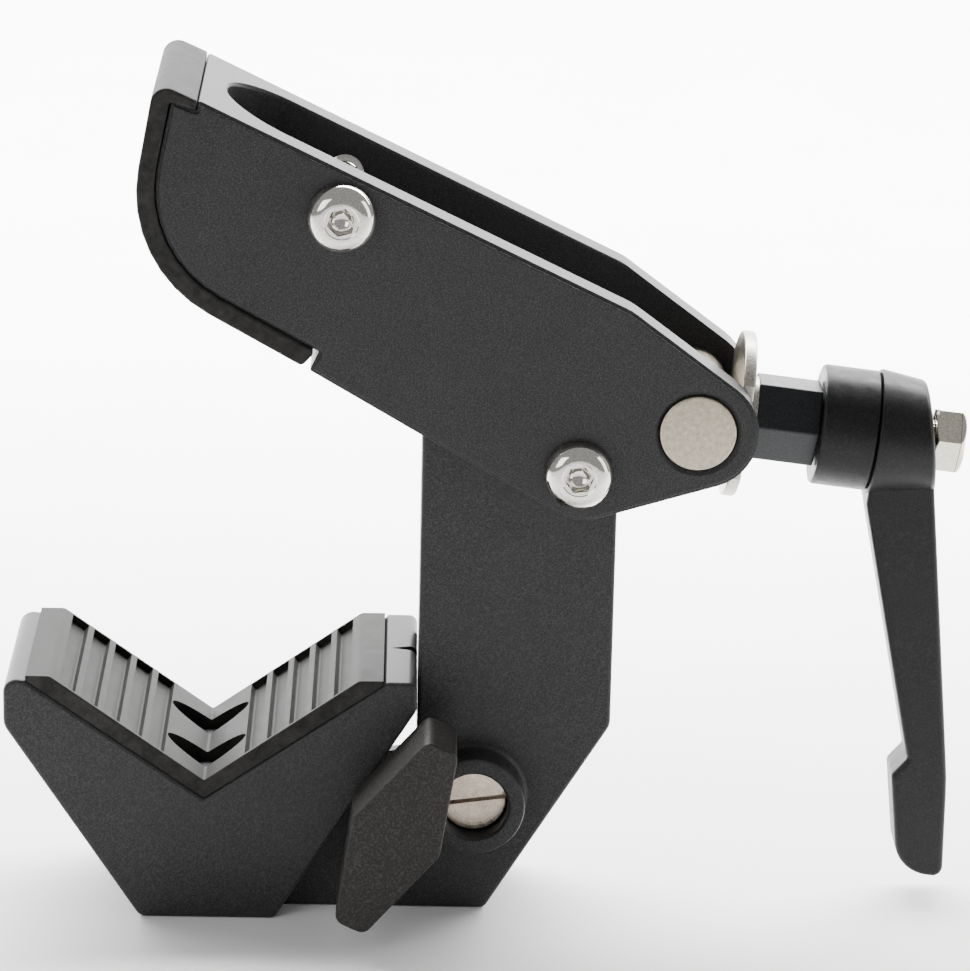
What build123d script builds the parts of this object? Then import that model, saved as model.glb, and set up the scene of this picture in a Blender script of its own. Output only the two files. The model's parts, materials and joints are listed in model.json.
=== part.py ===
from build123d import *
import math
import os

# Super clamp: a V jaw casting with a mast, a hinged upper jaw arm, and a threaded
# tension rod that pulls the arm down when the ratchet lever turns its sleeve nut.
# Millimetres, +Z up. The origin is the centre of the mouth of the stud socket in the
# underside of the base. +X points along the object towards the lever, -X towards the
# jaws, and -Y towards the wing knob. The arm stands in its fully open position.

# ---------------------------------------------------------------- driving sizes
# widths across the clamp
arm_width = 35.2
arm_wall = 6.3
mast_side_gap = 0.3          # between the mast and each inner wall of the arm
jaw_width = 33.4
jaw_pad_inset = 0.2          # the rubber stops this short of each side of the jaw

# V jaw and base
vee_x = -30.4                # where the bottom of the V lies
vee_floor = 20.2
vee_half_length = 28.0
vee_slope = 34.6             # degrees, each side of the casting's V
jaw_lip = 3.8                # flat top at each end of the V
jaw_end_drop = 9.4
jaw_foot_left = -40.8
jaw_foot_right = -19.6
mast_left = 3.0
mast_right = 33.6
base_foot_right = 14.3
base_knee_height = 31.4
edge_ease = 0.5

# hinge, barrel pin and tension rod
hinge_x = 27.2
hinge_z = 75.2
barrel_from_hinge = 18.2     # along X
rod_hinge_gap = 0.28         # between the rod and the hinge's barrel under it
rod_tilt = 6.7               # degrees below horizontal, fully open
rod_drop = 0.9               # the rod passes this far below the barrel's axis
anchor_distance = 27.9       # from the barrel back along the rod to its anchor pin
hinge_barrel_diameter = 9.4
anchor_pin_diameter = 5.0
barrel_diameter = 12.0
rod_diameter = 6.0
rod_eye_diameter = 11.0
rod_eye_width = 8.0
rod_swing_room = 0.6         # radial room between the rod and the barrel's cross hole
ear_radius = 8.8
hinge_edge = 8.7             # from the hinge's axis to the arm's underside
hinge_corner = 8.0
ear_slope = 15.9             # degrees, underside between the hinge and the ears
running_gap = 0.05           # radial, pins in their holes
slide_gap = 0.3              # faces that pass each other

# upper jaw arm
arm_top_slope = 25.5         # degrees
nose_top_x = -31.9
nose_over_hinge = 57.8       # height of the nose's top corner above the hinge
nose_left = -37.9
arm_bend_x = 34.7
nose_half_length = 15.2      # the rounded nose is a quarter of an ellipse
nose_half_height = 19.4
nose_centre_drop = 13.4      # of the ellipse's centre below the nose's top corner
underside_slope = 30.9       # degrees
slot_start = 5.4             # from the nose corner, along the top
slot_corner = 8.0
arm_floor = 4.0
floor_end_x = -6.0
nose_pad_thickness = 2.6
nose_pad_proud = 0.2

# screws
screw_thread = 6.0
button_head_diameter = 10.5
button_head_height = 3.3
hex_socket = 4.0
arm_screw_x = -9.8
arm_screw_over_hinge = 40.4
arm_screw_tip = 2.6          # how far each arm screw shows inside the slot

# parts on the tension rod, one after another from the barrel to the end nut
plate_gap = 0.4              # between the barrel pin and the thrust plate
plate_thickness = 2.0
plate_height = 27.0
plate_side_gap = 0.6
thrust_gap = 0.45
thrust_washer_thickness = 1.0
thrust_washer_diameter = 12.4
sleeve_hex = 13.0
sleeve_hex_turn = 15.0       # degrees, how the sleeve's flats stand
sleeve_visible = 10.1
sleeve_core_diameter = 11.0
collar_diameter = 19.0
collar_length = 8.8
collar_gap = 0.15
hub_length = 8.9
lever_lift = 1.3
end_nut_hex = 10.0
end_nut_turn = 30.0
end_nut_length = 4.9
rod_tip_proud = 0.4

# lever arm, in the plane of the rod: outward along the rod, and down from its axis
lever_root_out = 10.8
lever_neck_down = 53.0
lever_neck_width = 6.9
lever_grip_width = 9.2
lever_tip_down = 72.2
lever_tip_in = 1.6           # the outer edge bends in this far at the tip
lever_lean = 12.0            # degrees
lever_thickness = 11.0

# lower pad
pad_vertex_thickness = 3.1
pad_end_thickness = 0.8
pad_flat = 3.8               # level top at each end of the pad
pad_key_width = 28.6
pad_key_depth = 2.0
groove_count = 5
groove_first = 9.3           # from the bottom of the V to the first groove's middle
groove_pitch = 4.25
groove_width = 2.85
groove_depth = 1.1
groove_rim = 0.6             # rubber left at each end of a groove
pocket_length = 12.0
pocket_width = 6.5
pocket_offset = 7.4
pad_screw_head = 5.4
pad_screw_thread = 3.0
pad_screw_length = 12.0

# stud socket, clamping shoe, wing knob and spring catch
socket_diameter = 16.1
socket_depth = 30.0
socket_reamed = 14.0         # full-fit wall from the mouth up
socket_relief = 0.3          # radial, above the reamed stretch
lock_height = 19.6           # of the wing screw and of the catch above the base
wing_screw_diameter = 8.0
shoe_diameter = 6.4
shoe_length = 2.6
wing_gap = 2.7               # from the jaw's side to the back of the wing, wing tight
wing_thickness = 11.6
wing_half_length = 16.6
wing_tip_half_width = 2.6
wing_waist_half_width = 7.5
wing_tilt = 25.1             # degrees from upright
wing_round = 1.6
wing_boss_diameter = 13.0
catch_boss_diameter = 16.2
catch_hole_diameter = 10.8
catch_pin_diameter = 9.0
catch_waist_diameter = 6.8
catch_bite = 0.35            # how far the pin stands into the socket
plug_thickness = 3.0
plug_recess = 3.2
plug_slot = 1.0
catch_travel = 3.2
catch_button_proud = 4.6

# ---------------------------------------------------------------- worked-out sizes
slot_width = arm_width - 2 * arm_wall
mast_width = slot_width - 2 * mast_side_gap
rod_angle = math.radians(rod_tilt)
along_rod = Vector(math.cos(rod_angle), 0, -math.sin(rod_angle))
rod_over_hinge = hinge_barrel_diameter / 2 + rod_hinge_gap + rod_diameter / 2
barrel_x = hinge_x + barrel_from_hinge
barrel_rise = rod_over_hinge + rod_drop - barrel_from_hinge * math.sin(rod_angle)
barrel_z = hinge_z + barrel_rise / math.cos(rod_angle)
nose_top_z = hinge_z + nose_over_hinge
arm_screw_z = hinge_z + arm_screw_over_hinge
catch_x = socket_diameter / 2 + catch_pin_diameter / 2 - catch_bite
hinge_axis = Vector(hinge_x, 0, hinge_z)
barrel_axis = Vector(barrel_x, 0, barrel_z)
rod_start = barrel_axis - Vector(math.sin(rod_angle), 0, math.cos(rod_angle)) * rod_drop
anchor_axis = rod_start - along_rod * anchor_distance
vee_rise = vee_half_length * math.tan(math.radians(vee_slope))
jaw_top = vee_floor + vee_rise
jaw_left = vee_x - vee_half_length - jaw_lip
jaw_right = vee_x + vee_half_length + jaw_lip + 1.0
jaw_side = jaw_width / 2
plate_start = barrel_diameter / 2 + plate_gap
washer_start = plate_start + plate_thickness + thrust_gap
sleeve_start = washer_start + thrust_washer_thickness
collar_start = sleeve_start + sleeve_visible
hub_start = collar_start + collar_length + collar_gap
hub_end = hub_start + hub_length
end_nut_start = hub_end + lever_lift + slide_gap
rod_end = end_nut_start + end_nut_length + rod_tip_proud
rod_bore_radius = rod_diameter / 2 + 0.2


def side_profile(points):
    """Face in the XZ plane from a closed list of (x, z) points."""
    return make_face(Plane.XZ * Polyline(*points, close=True))


def across(face, width):
    """Solid of an XZ face, centred on the middle of the clamp."""
    return extrude(face, amount=width / 2, both=True)


def cross_pin(x, z, radius, y_from, y_to):
    """Cylinder along Y between two side positions."""
    start = Plane(origin=(x, y_from, z), z_dir=(0, 1, 0))
    low = (Align.CENTER, Align.CENTER, Align.MIN)
    return start * Cylinder(radius, y_to - y_from, align=low)


def rod_plane(distance):
    """Plane square to the rod, a distance from the barrel's axis."""
    return Plane(origin=rod_start + along_rod * distance, x_dir=(0, 1, 0), z_dir=along_rod)


def on_rod(radius, start, end):
    """Cylinder round the rod's axis."""
    low = (Align.CENTER, Align.CENTER, Align.MIN)
    return rod_plane(start) * Cylinder(radius, end - start, align=low)


def hexagon_on_rod(across_flats, start, end, turn):
    """Hexagonal bar round the rod's axis."""
    outline = RegularPolygon(across_flats / 2, 6, major_radius=False, rotation=turn)
    return extrude(rod_plane(start) * outline, amount=end - start)


def eased_sides(solid, size, right_of=-1000.0):
    """Breaks the edges round the two outermost side faces, where they lie right of a place."""
    sides = solid.faces().sort_by(Axis.Y)
    rims = sides[0].edges() + sides[-1].edges()
    return chamfer(rims.filter_by(lambda rim: rim.center().X > right_of), size)


def save(solid, name):
    """Writes one piece."""
    solid.label = name
    export_step(solid, f"parts/{name}.step")


# ---------------------------------------------------------------- jaw, base and mast
def make_body_casting():
    jaw = side_profile([
        (jaw_left, jaw_top - jaw_end_drop * 0.75),
        (jaw_left + 0.8, jaw_top),
        (vee_x - vee_half_length, jaw_top),
        (vee_x, vee_floor),
        (vee_x + vee_half_length, jaw_top),
        (jaw_right, jaw_top),
        (jaw_right, jaw_top - jaw_end_drop * 0.4),
        (jaw_foot_right + 1.0, 2.0),
        (jaw_foot_right, 0),
        (jaw_foot_left, 0),
        (jaw_foot_left - 1.0, 1.2),
        (jaw_left, jaw_top - jaw_end_drop),
    ])
    body = eased_sides(across(jaw, jaw_width), edge_ease)
    fork_top = anchor_axis.Z + rod_eye_diameter / 2 + 0.5
    mast = side_profile([
        (jaw_foot_left + 2, 0),
        (base_foot_right, 0),
        (mast_right, base_knee_height),
        (mast_right, hinge_z),
        (hinge_x + 2.0, fork_top - 8.0),
        (anchor_axis.X + 4.0, fork_top),
        (anchor_axis.X - 4.0, fork_top),
        (mast_left, hinge_z + 4.0),
        (mast_left, vee_floor),
        (jaw_foot_left + 2, vee_floor - 8.0),
    ])
    body += eased_sides(across(mast, mast_width), edge_ease)
    body += cross_pin(0, lock_height, wing_boss_diameter / 2, -jaw_side, 0)
    body += cross_pin(catch_x, lock_height, catch_boss_diameter / 2, -jaw_side, mast_width / 2)
    low = (Align.CENTER, Align.CENTER, Align.MIN)
    body -= Cylinder(socket_diameter / 2, socket_reamed, align=low)
    relieved = Cylinder(socket_diameter / 2 + socket_relief, socket_depth - socket_reamed, align=low)
    body -= Pos(0, 0, socket_reamed) * relieved
    body -= cross_pin(0, lock_height, wing_screw_diameter / 2 + running_gap, -jaw_side - 1, 0)
    body -= make_catch_hole()
    body -= pad_key(pad_key_width, pad_key_depth)
    for side in (-1, 1):
        hole = Pos(vee_x, side * pocket_offset, vee_floor)
        high = (Align.CENTER, Align.CENTER, Align.MAX)
        body -= hole * Cylinder(pad_screw_thread / 2, pad_screw_length, align=high)
    body -= cross_pin(hinge_x, hinge_z, hinge_barrel_diameter / 2 + running_gap, -mast_width, mast_width)
    body -= cross_pin(anchor_axis.X, anchor_axis.Z, anchor_pin_diameter / 2, -mast_width, mast_width)
    body -= make_fork_slot()
    return body


def make_catch_hole():
    """Stepped hole of the spring catch: wide for the plug, narrow for the button."""
    side = mast_width / 2
    wide = cross_pin(catch_x, lock_height, catch_hole_diameter / 2, -jaw_side - 1, catch_shoulder())
    narrow = cross_pin(catch_x, lock_height, catch_waist_diameter / 2 + 0.2, 0, side + 1)
    return wide + narrow


def catch_shoulder():
    """Where the wide part of the catch's hole ends."""
    return mast_width / 2 - 3.0


def make_fork_slot():
    """Slot in the top of the mast for the rod's eye, open towards the lever."""
    half = rod_eye_width / 2 + slide_gap
    reach = rod_eye_diameter / 2 + slide_gap
    below = rod_diameter / 2 + 0.35
    corner = anchor_axis + Vector(-reach, 0, -reach)
    far = anchor_axis + along_rod * 40
    slot = side_profile([
        (corner.X, corner.Z + 40),
        (corner.X, corner.Z),
        (anchor_axis.X + 2.0, corner.Z),
        (anchor_axis.X + 5.0, anchor_axis.Z - below - 0.7),
        (far.X, far.Z - below),
        (far.X, far.Z + 60),
    ])
    return across(slot, 2 * half)


def pad_key(width, depth):
    """The V shaped bar under the lower pad that sits in the jaw's recess."""
    inset = 4.0
    reach = vee_half_length - inset
    rise = reach * math.tan(math.radians(vee_slope))
    bar = side_profile([
        (vee_x - reach, vee_floor + rise + 0.01),
        (vee_x, vee_floor + 0.01),
        (vee_x + reach, vee_floor + rise + 0.01),
        (vee_x + reach, vee_floor + rise - depth),
        (vee_x, vee_floor - depth),
        (vee_x - reach, vee_floor + rise - depth),
    ])
    return across(bar, width)


def make_lower_jaw_pad():
    top = jaw_top + pad_end_thickness
    vertex = vee_floor + pad_vertex_thickness
    pad = side_profile([
        (vee_x - vee_half_length, jaw_top),
        (vee_x - vee_half_length, top),
        (vee_x - vee_half_length + pad_flat, top),
        (vee_x, vertex),
        (vee_x + vee_half_length - pad_flat, top),
        (vee_x + vee_half_length, top),
        (vee_x + vee_half_length, jaw_top),
        (vee_x, vee_floor),
    ])
    solid = across(pad, jaw_width - 2 * jaw_pad_inset)
    solid += pad_key(pad_key_width - 0.2, pad_key_depth - 0.1)
    slope = math.atan2(top - vertex, vee_half_length - pad_flat)
    groove_length = jaw_width - 2 * jaw_pad_inset - 2 * groove_rim
    for side in (-1, 1):
        for number in range(groove_count):
            along = groove_first + groove_pitch * number
            x = vee_x + side * along * math.cos(slope)
            z = vertex + along * math.sin(slope)
            place = Plane(origin=(x, 0, z), x_dir=(math.cos(slope), 0, side * math.sin(slope)),
                          z_dir=(-side * math.sin(slope), 0, math.cos(slope)))
            solid -= place * Box(groove_width, groove_length, 2 * groove_depth)
        pocket = Pos(vee_x, side * pocket_offset, vee_floor) * Ellipse(pocket_length / 2, pocket_width / 2)
        solid -= extrude(pocket, amount=20)
        hole = Pos(vee_x, side * pocket_offset, vee_floor)
        solid -= hole * Cylinder(pad_screw_thread / 2 + 0.2, 20)
    return solid


def make_lower_pad_screws():
    screws = []
    for side in (-1, 1):
        seat = Pos(vee_x, side * pocket_offset, vee_floor)
        low = (Align.CENTER, Align.CENTER, Align.MIN)
        head = seat * Cylinder(pad_screw_head / 2, 1.8, align=low)
        head -= seat * Pos(0, 0, 0.8) * Box(pad_screw_head, 0.8, 2.0, align=low)
        high = (Align.CENTER, Align.CENTER, Align.MAX)
        head += seat * Cylinder(pad_screw_thread / 2, pad_screw_length, align=high)
        screws.append(head)
    return Compound(children=screws)


def make_anchor_pin():
    half = mast_width / 2 - 0.2
    pin = cross_pin(anchor_axis.X, anchor_axis.Z, anchor_pin_diameter / 2, -half, half)
    return chamfer(pin.edges(), 0.3)


# ---------------------------------------------------------------- upper jaw arm
def arm_top_z(x):
    """Height of the arm's top edge left of its bend."""
    return nose_top_z - (x - nose_top_x) * math.tan(math.radians(arm_top_slope))


def arm_underside_z(x):
    """Height of the arm's straight underside, from the nose to the hinge."""
    slope = math.radians(underside_slope)
    base = hinge_z - hinge_edge / math.cos(slope)
    return base - (x - hinge_x) * math.tan(slope)


def ear_underside_z(x):
    """Height of the underside between the hinge and the ears, tangent to the ears."""
    slope = math.radians(ear_slope)
    return barrel_z - ear_radius / math.cos(slope) + (x - barrel_x) * math.tan(slope)


def nose_point(angle, grow=0.0):
    """Point on the rounded nose, which an ellipse about its centre describes."""
    centre_x = nose_left + nose_half_length
    centre_z = nose_top_z - nose_centre_drop
    turn = math.radians(angle)
    return (centre_x + (nose_half_length + grow) * math.cos(turn),
            centre_z + (nose_half_height + grow) * math.sin(turn))


def hook_x():
    """Where the pad's hook lies in the underside."""
    return nose_top_x + 17.4


def arm_outline():
    """Closed outline of the arm's side, without its rubber."""
    ear = math.radians(ear_slope)
    under = math.radians(underside_slope)
    top_left = (nose_top_x - 3.7, nose_top_z - 0.8)
    bend = (arm_bend_x, arm_top_z(arm_bend_x))
    ear_top_angle = math.radians(53.0)
    ear_top = (barrel_x + ear_radius * math.cos(ear_top_angle), barrel_z + ear_radius * math.sin(ear_top_angle))
    ear_right = (barrel_x + ear_radius, barrel_z)
    ear_low_x = barrel_x + ear_radius * math.sin(ear)
    ear_low = (ear_low_x, ear_underside_z(ear_low_x))
    corner_x = hinge_x - (ear_underside_z(hinge_x) - arm_underside_z(hinge_x)) / (math.tan(under) + math.tan(ear))
    middle = math.radians((90 - underside_slope + 90 + ear_slope) / 2)
    half_turn = math.radians((underside_slope + ear_slope) / 2)
    reach = hinge_corner * math.tan(half_turn)
    right_x = corner_x + reach * math.cos(ear)
    left_x = corner_x - reach * math.cos(under)
    sagitta = hinge_corner / math.cos(half_turn) - hinge_corner
    corner_right = (right_x, ear_underside_z(right_x))
    corner_left = (left_x, arm_underside_z(left_x))
    corner_low = (corner_x + sagitta * math.cos(middle), arm_underside_z(corner_x) + sagitta * math.sin(middle))
    hook = (hook_x(), arm_underside_z(hook_x()))
    hook_in = (hook_x() + 1.6, hook[1] + 3.0)
    hook_top = (hook_x() - 1.0, hook[1] + 4.2)
    nose_low = nose_point(247)
    nose_mid = nose_point(215)
    nose_high = nose_point(186)
    edges = [
        Line(top_left, (nose_top_x, nose_top_z)),
        Line((nose_top_x, nose_top_z), bend),
        Line(bend, ear_top),
        ThreePointArc(ear_top, ear_right, ear_low),
        Line(ear_low, corner_right),
        ThreePointArc(corner_right, corner_low, corner_left),
        Line(corner_left, hook),
        Line(hook, hook_in),
        Line(hook_in, hook_top),
        Line(hook_top, nose_low),
        ThreePointArc(nose_low, nose_mid, nose_high),
        Line(nose_high, top_left),
    ]
    return make_face(Plane.XZ * Wire(edges))


def make_upper_jaw_arm():
    arm = eased_sides(across(arm_outline(), arm_width), edge_ease, right_of=floor_end_x)
    slope = math.radians(arm_top_slope)
    top_plane = Plane(origin=(nose_top_x, 0, nose_top_z), x_dir=(math.cos(slope), 0, -math.sin(slope)),
                      z_dir=(math.sin(slope), 0, math.cos(slope)))
    length = 160.0
    plan = Pos(slot_start + length / 2, 0) * Rectangle(length, slot_width)
    plan = fillet(plan.vertices().group_by(Axis.X)[0], slot_corner)
    prism = extrude(top_plane * plan, amount=-120) + extrude(top_plane * plan, amount=60)
    left = nose_left + nose_pad_thickness + 5.6
    room = side_profile([
        (left, 160),
        (left, nose_point(200)[1] + 2),
        (nose_point(247)[0], nose_point(247)[1] + arm_floor + 1.5),
        (hook_x(), arm_underside_z(hook_x()) + arm_floor + 4.2),
        (floor_end_x, arm_underside_z(floor_end_x) + arm_floor),
        (floor_end_x, 40),
        (90, 40),
        (90, 160),
    ])
    arm -= prism & across(room, slot_width + 2)
    arm -= cross_pin(hinge_x, hinge_z, hinge_barrel_diameter / 2, -arm_width, arm_width)
    arm -= cross_pin(barrel_x, barrel_z, barrel_diameter / 2 + running_gap, -arm_width, arm_width)
    arm -= cross_pin(arm_screw_x, arm_screw_z, screw_thread / 2, -arm_width, arm_width)
    for side in (-1, 1):
        rim = Plane(origin=(barrel_x, side * arm_width / 2, barrel_z), z_dir=(0, side, 0))
        arm -= rim * Cone(barrel_diameter / 2 - 0.2, barrel_diameter / 2 + 1.8, 2.0)
    return arm


def make_upper_jaw_pad():
    """Rubber that wraps the nose and hooks into the underside."""
    grow = nose_pad_thickness
    hook = (hook_x(), arm_underside_z(hook_x()))
    low_out = nose_point(247, grow)
    mid_out = nose_point(215, grow)
    high_out = nose_point(186, grow)
    top_left = (nose_top_x - 3.7, nose_top_z - 0.8)
    cap_out = (top_left[0] - grow, top_left[1] + 0.6)
    cap_top = (top_left[0] - 0.2, top_left[1] + 1.9)
    cap_end = (nose_top_x, nose_top_z + 0.7)
    hook_top = (hook_x() - 1.0, hook[1] + 4.2)
    hook_in = (hook_x() + 1.6, hook[1] + 3.0)
    edges = [
        Line(top_left, (nose_top_x, nose_top_z)),
        Line((nose_top_x, nose_top_z), cap_end),
        Line(cap_end, cap_top),
        Line(cap_top, cap_out),
        Line(cap_out, high_out),
        ThreePointArc(high_out, mid_out, low_out),
        Line(low_out, (hook[0] - 1.2, hook[1] + 0.7)),
        Line((hook[0] - 1.2, hook[1] + 0.7), (hook_x() + 0.9, hook[1] + 2.6)),
        Line((hook_x() + 0.9, hook[1] + 2.6), hook_in),
        Line(hook_in, hook_top),
        Line(hook_top, nose_point(247)),
        ThreePointArc(nose_point(247), nose_point(215), nose_point(186)),
        Line(nose_point(186), top_left),
    ]
    pad = across(make_face(Plane.XZ * Wire(edges)), arm_width + 2 * nose_pad_proud)
    return pad


def make_button_screw(x, z, side, length):
    """Button head screw with its head on one outer side of the arm."""
    seat = Plane(origin=(x, side * arm_width / 2, z), x_dir=(1, 0, 0), z_dir=(0, side, 0))
    low = (Align.CENTER, Align.CENTER, Align.MIN)
    head = Cylinder(button_head_diameter / 2, button_head_height, align=low)
    head = fillet(head.edges().sort_by(Axis.Z)[-1], button_head_height * 0.85)
    socket = RegularPolygon(hex_socket / 2, 6, major_radius=False)
    head -= Pos(0, 0, button_head_height) * extrude(socket, amount=-2.0)
    high = (Align.CENTER, Align.CENTER, Align.MAX)
    shank = Cylinder(screw_thread / 2, length, align=high)
    return seat * (head + chamfer(shank.edges().sort_by(Axis.Z)[0], 0.6))


def make_hinge_barrel():
    half = arm_width / 2 - 0.3
    barrel = cross_pin(hinge_x, hinge_z, hinge_barrel_diameter / 2, -half, half)
    barrel -= cross_pin(hinge_x, hinge_z, screw_thread / 2, -half - 1, half + 1)
    return barrel


# ---------------------------------------------------------------- barrel pin and rod
def make_barrel_pin():
    half = arm_width / 2
    pin = cross_pin(barrel_x, barrel_z, barrel_diameter / 2, -half, half)
    pin = chamfer(pin.edges(), 0.5)
    return pin - on_rod(rod_diameter / 2 + rod_swing_room, -20, 20)


def make_thrust_plate():
    width = slot_width - 2 * plate_side_gap
    outline = Circle(plate_height / 2) & Rectangle(width, plate_height)
    plate = extrude(rod_plane(plate_start) * outline, amount=plate_thickness)
    plate = chamfer(plate.edges().filter_by(GeomType.CIRCLE), 0.3)
    return plate - on_rod(rod_diameter / 2 + rod_swing_room, 0, 20)


def make_tension_rod():
    half = rod_eye_width / 2
    eye = cross_pin(anchor_axis.X, anchor_axis.Z, rod_eye_diameter / 2, -half, half)
    rod = eye + on_rod(rod_diameter / 2, -anchor_distance + 1, rod_end)
    bore = cross_pin(anchor_axis.X, anchor_axis.Z, anchor_pin_diameter / 2 + running_gap, -half - 1, half + 1)
    return rod - bore


def make_end_nut():
    nut = hexagon_on_rod(end_nut_hex, end_nut_start, end_nut_start + end_nut_length, end_nut_turn)
    cone = rod_plane(end_nut_start + end_nut_length / 2) * Cylinder(end_nut_hex / 2 + 0.55, end_nut_length)
    nut &= chamfer(cone.edges(), 0.5)
    return nut - on_rod(rod_diameter / 2, end_nut_start - 1, rod_end + 1)


def make_thrust_washer():
    washer = on_rod(thrust_washer_diameter / 2, washer_start, washer_start + thrust_washer_thickness)
    return washer - on_rod(rod_bore_radius, 0, 30)


# ---------------------------------------------------------------- sleeve nut and lever
def make_hex_sleeve_nut():
    """Hexagonal nut with a round core that carries the collar and the lever."""
    nut = hexagon_on_rod(sleeve_hex, sleeve_start, collar_start, sleeve_hex_turn)
    nut += on_rod(sleeve_core_diameter / 2, collar_start - 1, hub_start + 3.0)
    nut += on_rod(sleeve_core_diameter / 2 - 1.0, hub_start, hub_end - 1.0)
    return nut - on_rod(rod_bore_radius, 0, 60)


def make_lever_collar():
    collar = on_rod(collar_diameter / 2, collar_start, collar_start + collar_length)
    collar = chamfer(collar.edges(), 0.4)
    return collar - on_rod(sleeve_core_diameter / 2, 0, 60)


def make_lever_clip():
    """Retaining ring on the end of the core, which holds the lever's spring."""
    ring = on_rod(sleeve_core_diameter / 2 + 0.6, hub_end - 2.0, hub_end - 1.0)
    return ring - on_rod(sleeve_core_diameter / 2 - 1.0, 0, 60)


def make_lever_washer():
    """Washer that slides with the lever and takes the spring's push."""
    start = hub_start + 3.2
    ring = on_rod(sleeve_core_diameter / 2 + 1.0, start, start + 0.8)
    return ring - on_rod(sleeve_core_diameter / 2 - 1.0 + 0.1, 0, 60)


def make_lever_spring():
    """Wave spring between the washer and the retaining ring."""
    start = hub_start + 4.2
    ring = on_rod(sleeve_core_diameter / 2 + 0.4, start, hub_end - 2.2)
    return ring - on_rod(sleeve_core_diameter / 2 - 0.6, 0, 60)


def make_lever_handle():
    hub = on_rod(collar_diameter / 2 + 0.2, hub_start, hub_end)
    hub = chamfer(hub.edges().filter_by(GeomType.CIRCLE), 0.5)
    plane = Plane(origin=rod_start, x_dir=along_rod, z_dir=(0, -1, 0))
    lean = math.tan(math.radians(lever_lean))
    out = hub_start + lever_root_out

    def outer(down):
        return (out + (down - 7.0) * lean, -down)

    def inner(down, width):
        return (outer(down)[0] - width, -down)

    grip_start = lever_neck_down + 3.0
    arm = Polyline(
        (hub_start, -6.0),
        (out - 1.2, -6.6),
        outer(8.0),
        outer(lever_neck_down),
        (outer(lever_tip_down)[0] - lever_tip_in, -lever_tip_down + 1.5),
        (outer(lever_tip_down)[0] - lever_tip_in - 1.4, -lever_tip_down),
        (outer(lever_tip_down)[0] - lever_tip_in - 4.6, -lever_tip_down + 1.6),
        inner(lever_tip_down - 5.0, lever_grip_width - 0.6),
        inner(grip_start + 2.0, lever_grip_width),
        inner(grip_start, lever_grip_width),
        inner(lever_neck_down, lever_neck_width),
        (hub_start + 0.4, -11.0),
        close=True,
    )
    blade = extrude(make_face(plane * arm), amount=lever_thickness / 2, both=True)
    lever = hub + blade
    lever -= on_rod(sleeve_core_diameter / 2 + 0.1, hub_start - 1, hub_start + 3.1)
    lever -= on_rod(sleeve_core_diameter / 2 + 1.1, hub_start + 3.1, 90)
    lever -= on_rod(8.6, hub_end, 90)
    return lever


# ---------------------------------------------------------------- stud lock and catch
def wing_back():
    """Side position of the wing's back face."""
    return -jaw_side - wing_gap


def make_clamp_shoe():
    """Brass tip that presses on the stud."""
    tip = -socket_diameter / 2 + 0.1
    return chamfer(cross_pin(0, lock_height, shoe_diameter / 2, tip - shoe_length, tip).edges(), 0.3)


def make_wing_screw():
    tip = -socket_diameter / 2 + 0.1 - shoe_length
    return cross_pin(0, lock_height, wing_screw_diameter / 2, wing_back() - 7.0, tip)


def make_wing_knob():
    turn = Location((0, 0, lock_height), (0, wing_tilt, 0))
    points = [
        (-wing_tip_half_width, wing_half_length),
        (wing_tip_half_width, wing_half_length),
        (wing_waist_half_width, 0),
        (wing_tip_half_width, -wing_half_length),
        (-wing_tip_half_width, -wing_half_length),
        (-wing_waist_half_width, 0),
    ]
    outline = fillet(side_profile(points).vertices(), wing_round)
    front = wing_back() - wing_thickness
    blade = Pos(0, wing_back(), 0) * extrude(outline, amount=wing_thickness, dir=(0, -1, 0))
    blade = eased_sides(blade, 0.6)
    knob = turn * blade
    knob += cross_pin(0, lock_height, wing_boss_diameter / 2 - 0.8, wing_back(), wing_back() + 1.2)
    return knob - cross_pin(0, lock_height, wing_screw_diameter / 2, front + 4.6, 0)


def make_slotted_plug():
    front = -jaw_side + plug_recess
    plug = cross_pin(catch_x, lock_height, catch_hole_diameter / 2, front, front + plug_thickness)
    plug = chamfer(plug.faces().sort_by(Axis.Y)[0].edges(), 0.25)
    slot = Pos(catch_x, front, lock_height) * Rot(0, -8, 0) * Box(20, 2.0, plug_slot)
    return plug - slot


def catch_front():
    """Front end of the catch pin."""
    return -6.0


def make_catch_pin():
    shoulder = catch_shoulder()
    pin = cross_pin(catch_x, lock_height, catch_pin_diameter / 2, catch_front(), shoulder - 0.1)
    pin += cross_pin(catch_x, lock_height, catch_waist_diameter / 2, shoulder - 1,
                     mast_width / 2 + catch_button_proud)
    return pin


def make_catch_spring():
    start = -jaw_side + plug_recess + plug_thickness + 0.1
    coil = cross_pin(catch_x, lock_height, 3.4, start, catch_front() - 0.1)
    return coil - cross_pin(catch_x, lock_height, 2.6, start - 1, catch_front() + 1)


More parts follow.
